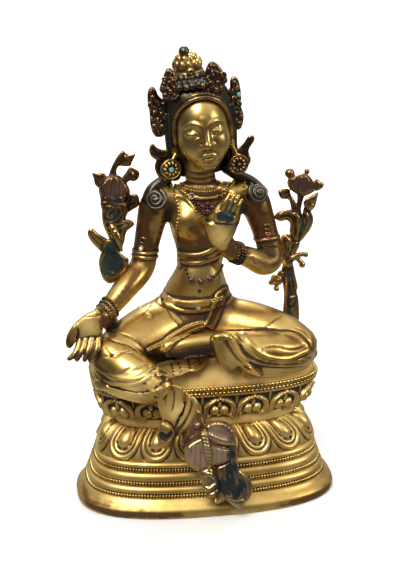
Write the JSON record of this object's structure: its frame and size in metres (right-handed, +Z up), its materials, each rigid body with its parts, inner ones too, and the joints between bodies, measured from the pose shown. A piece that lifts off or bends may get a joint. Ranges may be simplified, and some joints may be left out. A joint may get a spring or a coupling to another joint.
{
  "type": "gilt bronze tara figure",
  "caption": "Gilt metal goddess seated with one leg pendant on an oval double-lotus pedestal, lotus sprays rising beside both arms.",
  "frame": {"origin": "centre of the pedestal's flat underside", "axes": "+Z up, -Y towards the front of the figure, +X to the viewer's right, which is the figure's left"},
  "size_m": [0.1094, 0.0638, 0.1797],
  "materials": {
    "pedestal_gilding": "polished gilding, darkened in the recesses and worn through along the rim",
    "figure_gilding": "polished gilding over dark brown metal, worn on the arms and drapery",
    "spray_patina": "dark brown to green-black patina with gilt edges",
    "lotus_copper": "brown copper-red patina",
    "hair_pigment": "blue-black to green-black pigment in the hair",
    "set_stones": "small polished cabochons"
  },
  "bodies": {
    "root": {"lotus_pedestal": "pedestal_gilding", "seated_figure": "figure_gilding", "right_lotus_spray": "spray_patina", "left_lotus_spray": "spray_patina", "foot_lotus": "lotus_copper"}
  },
  "joints": []
}
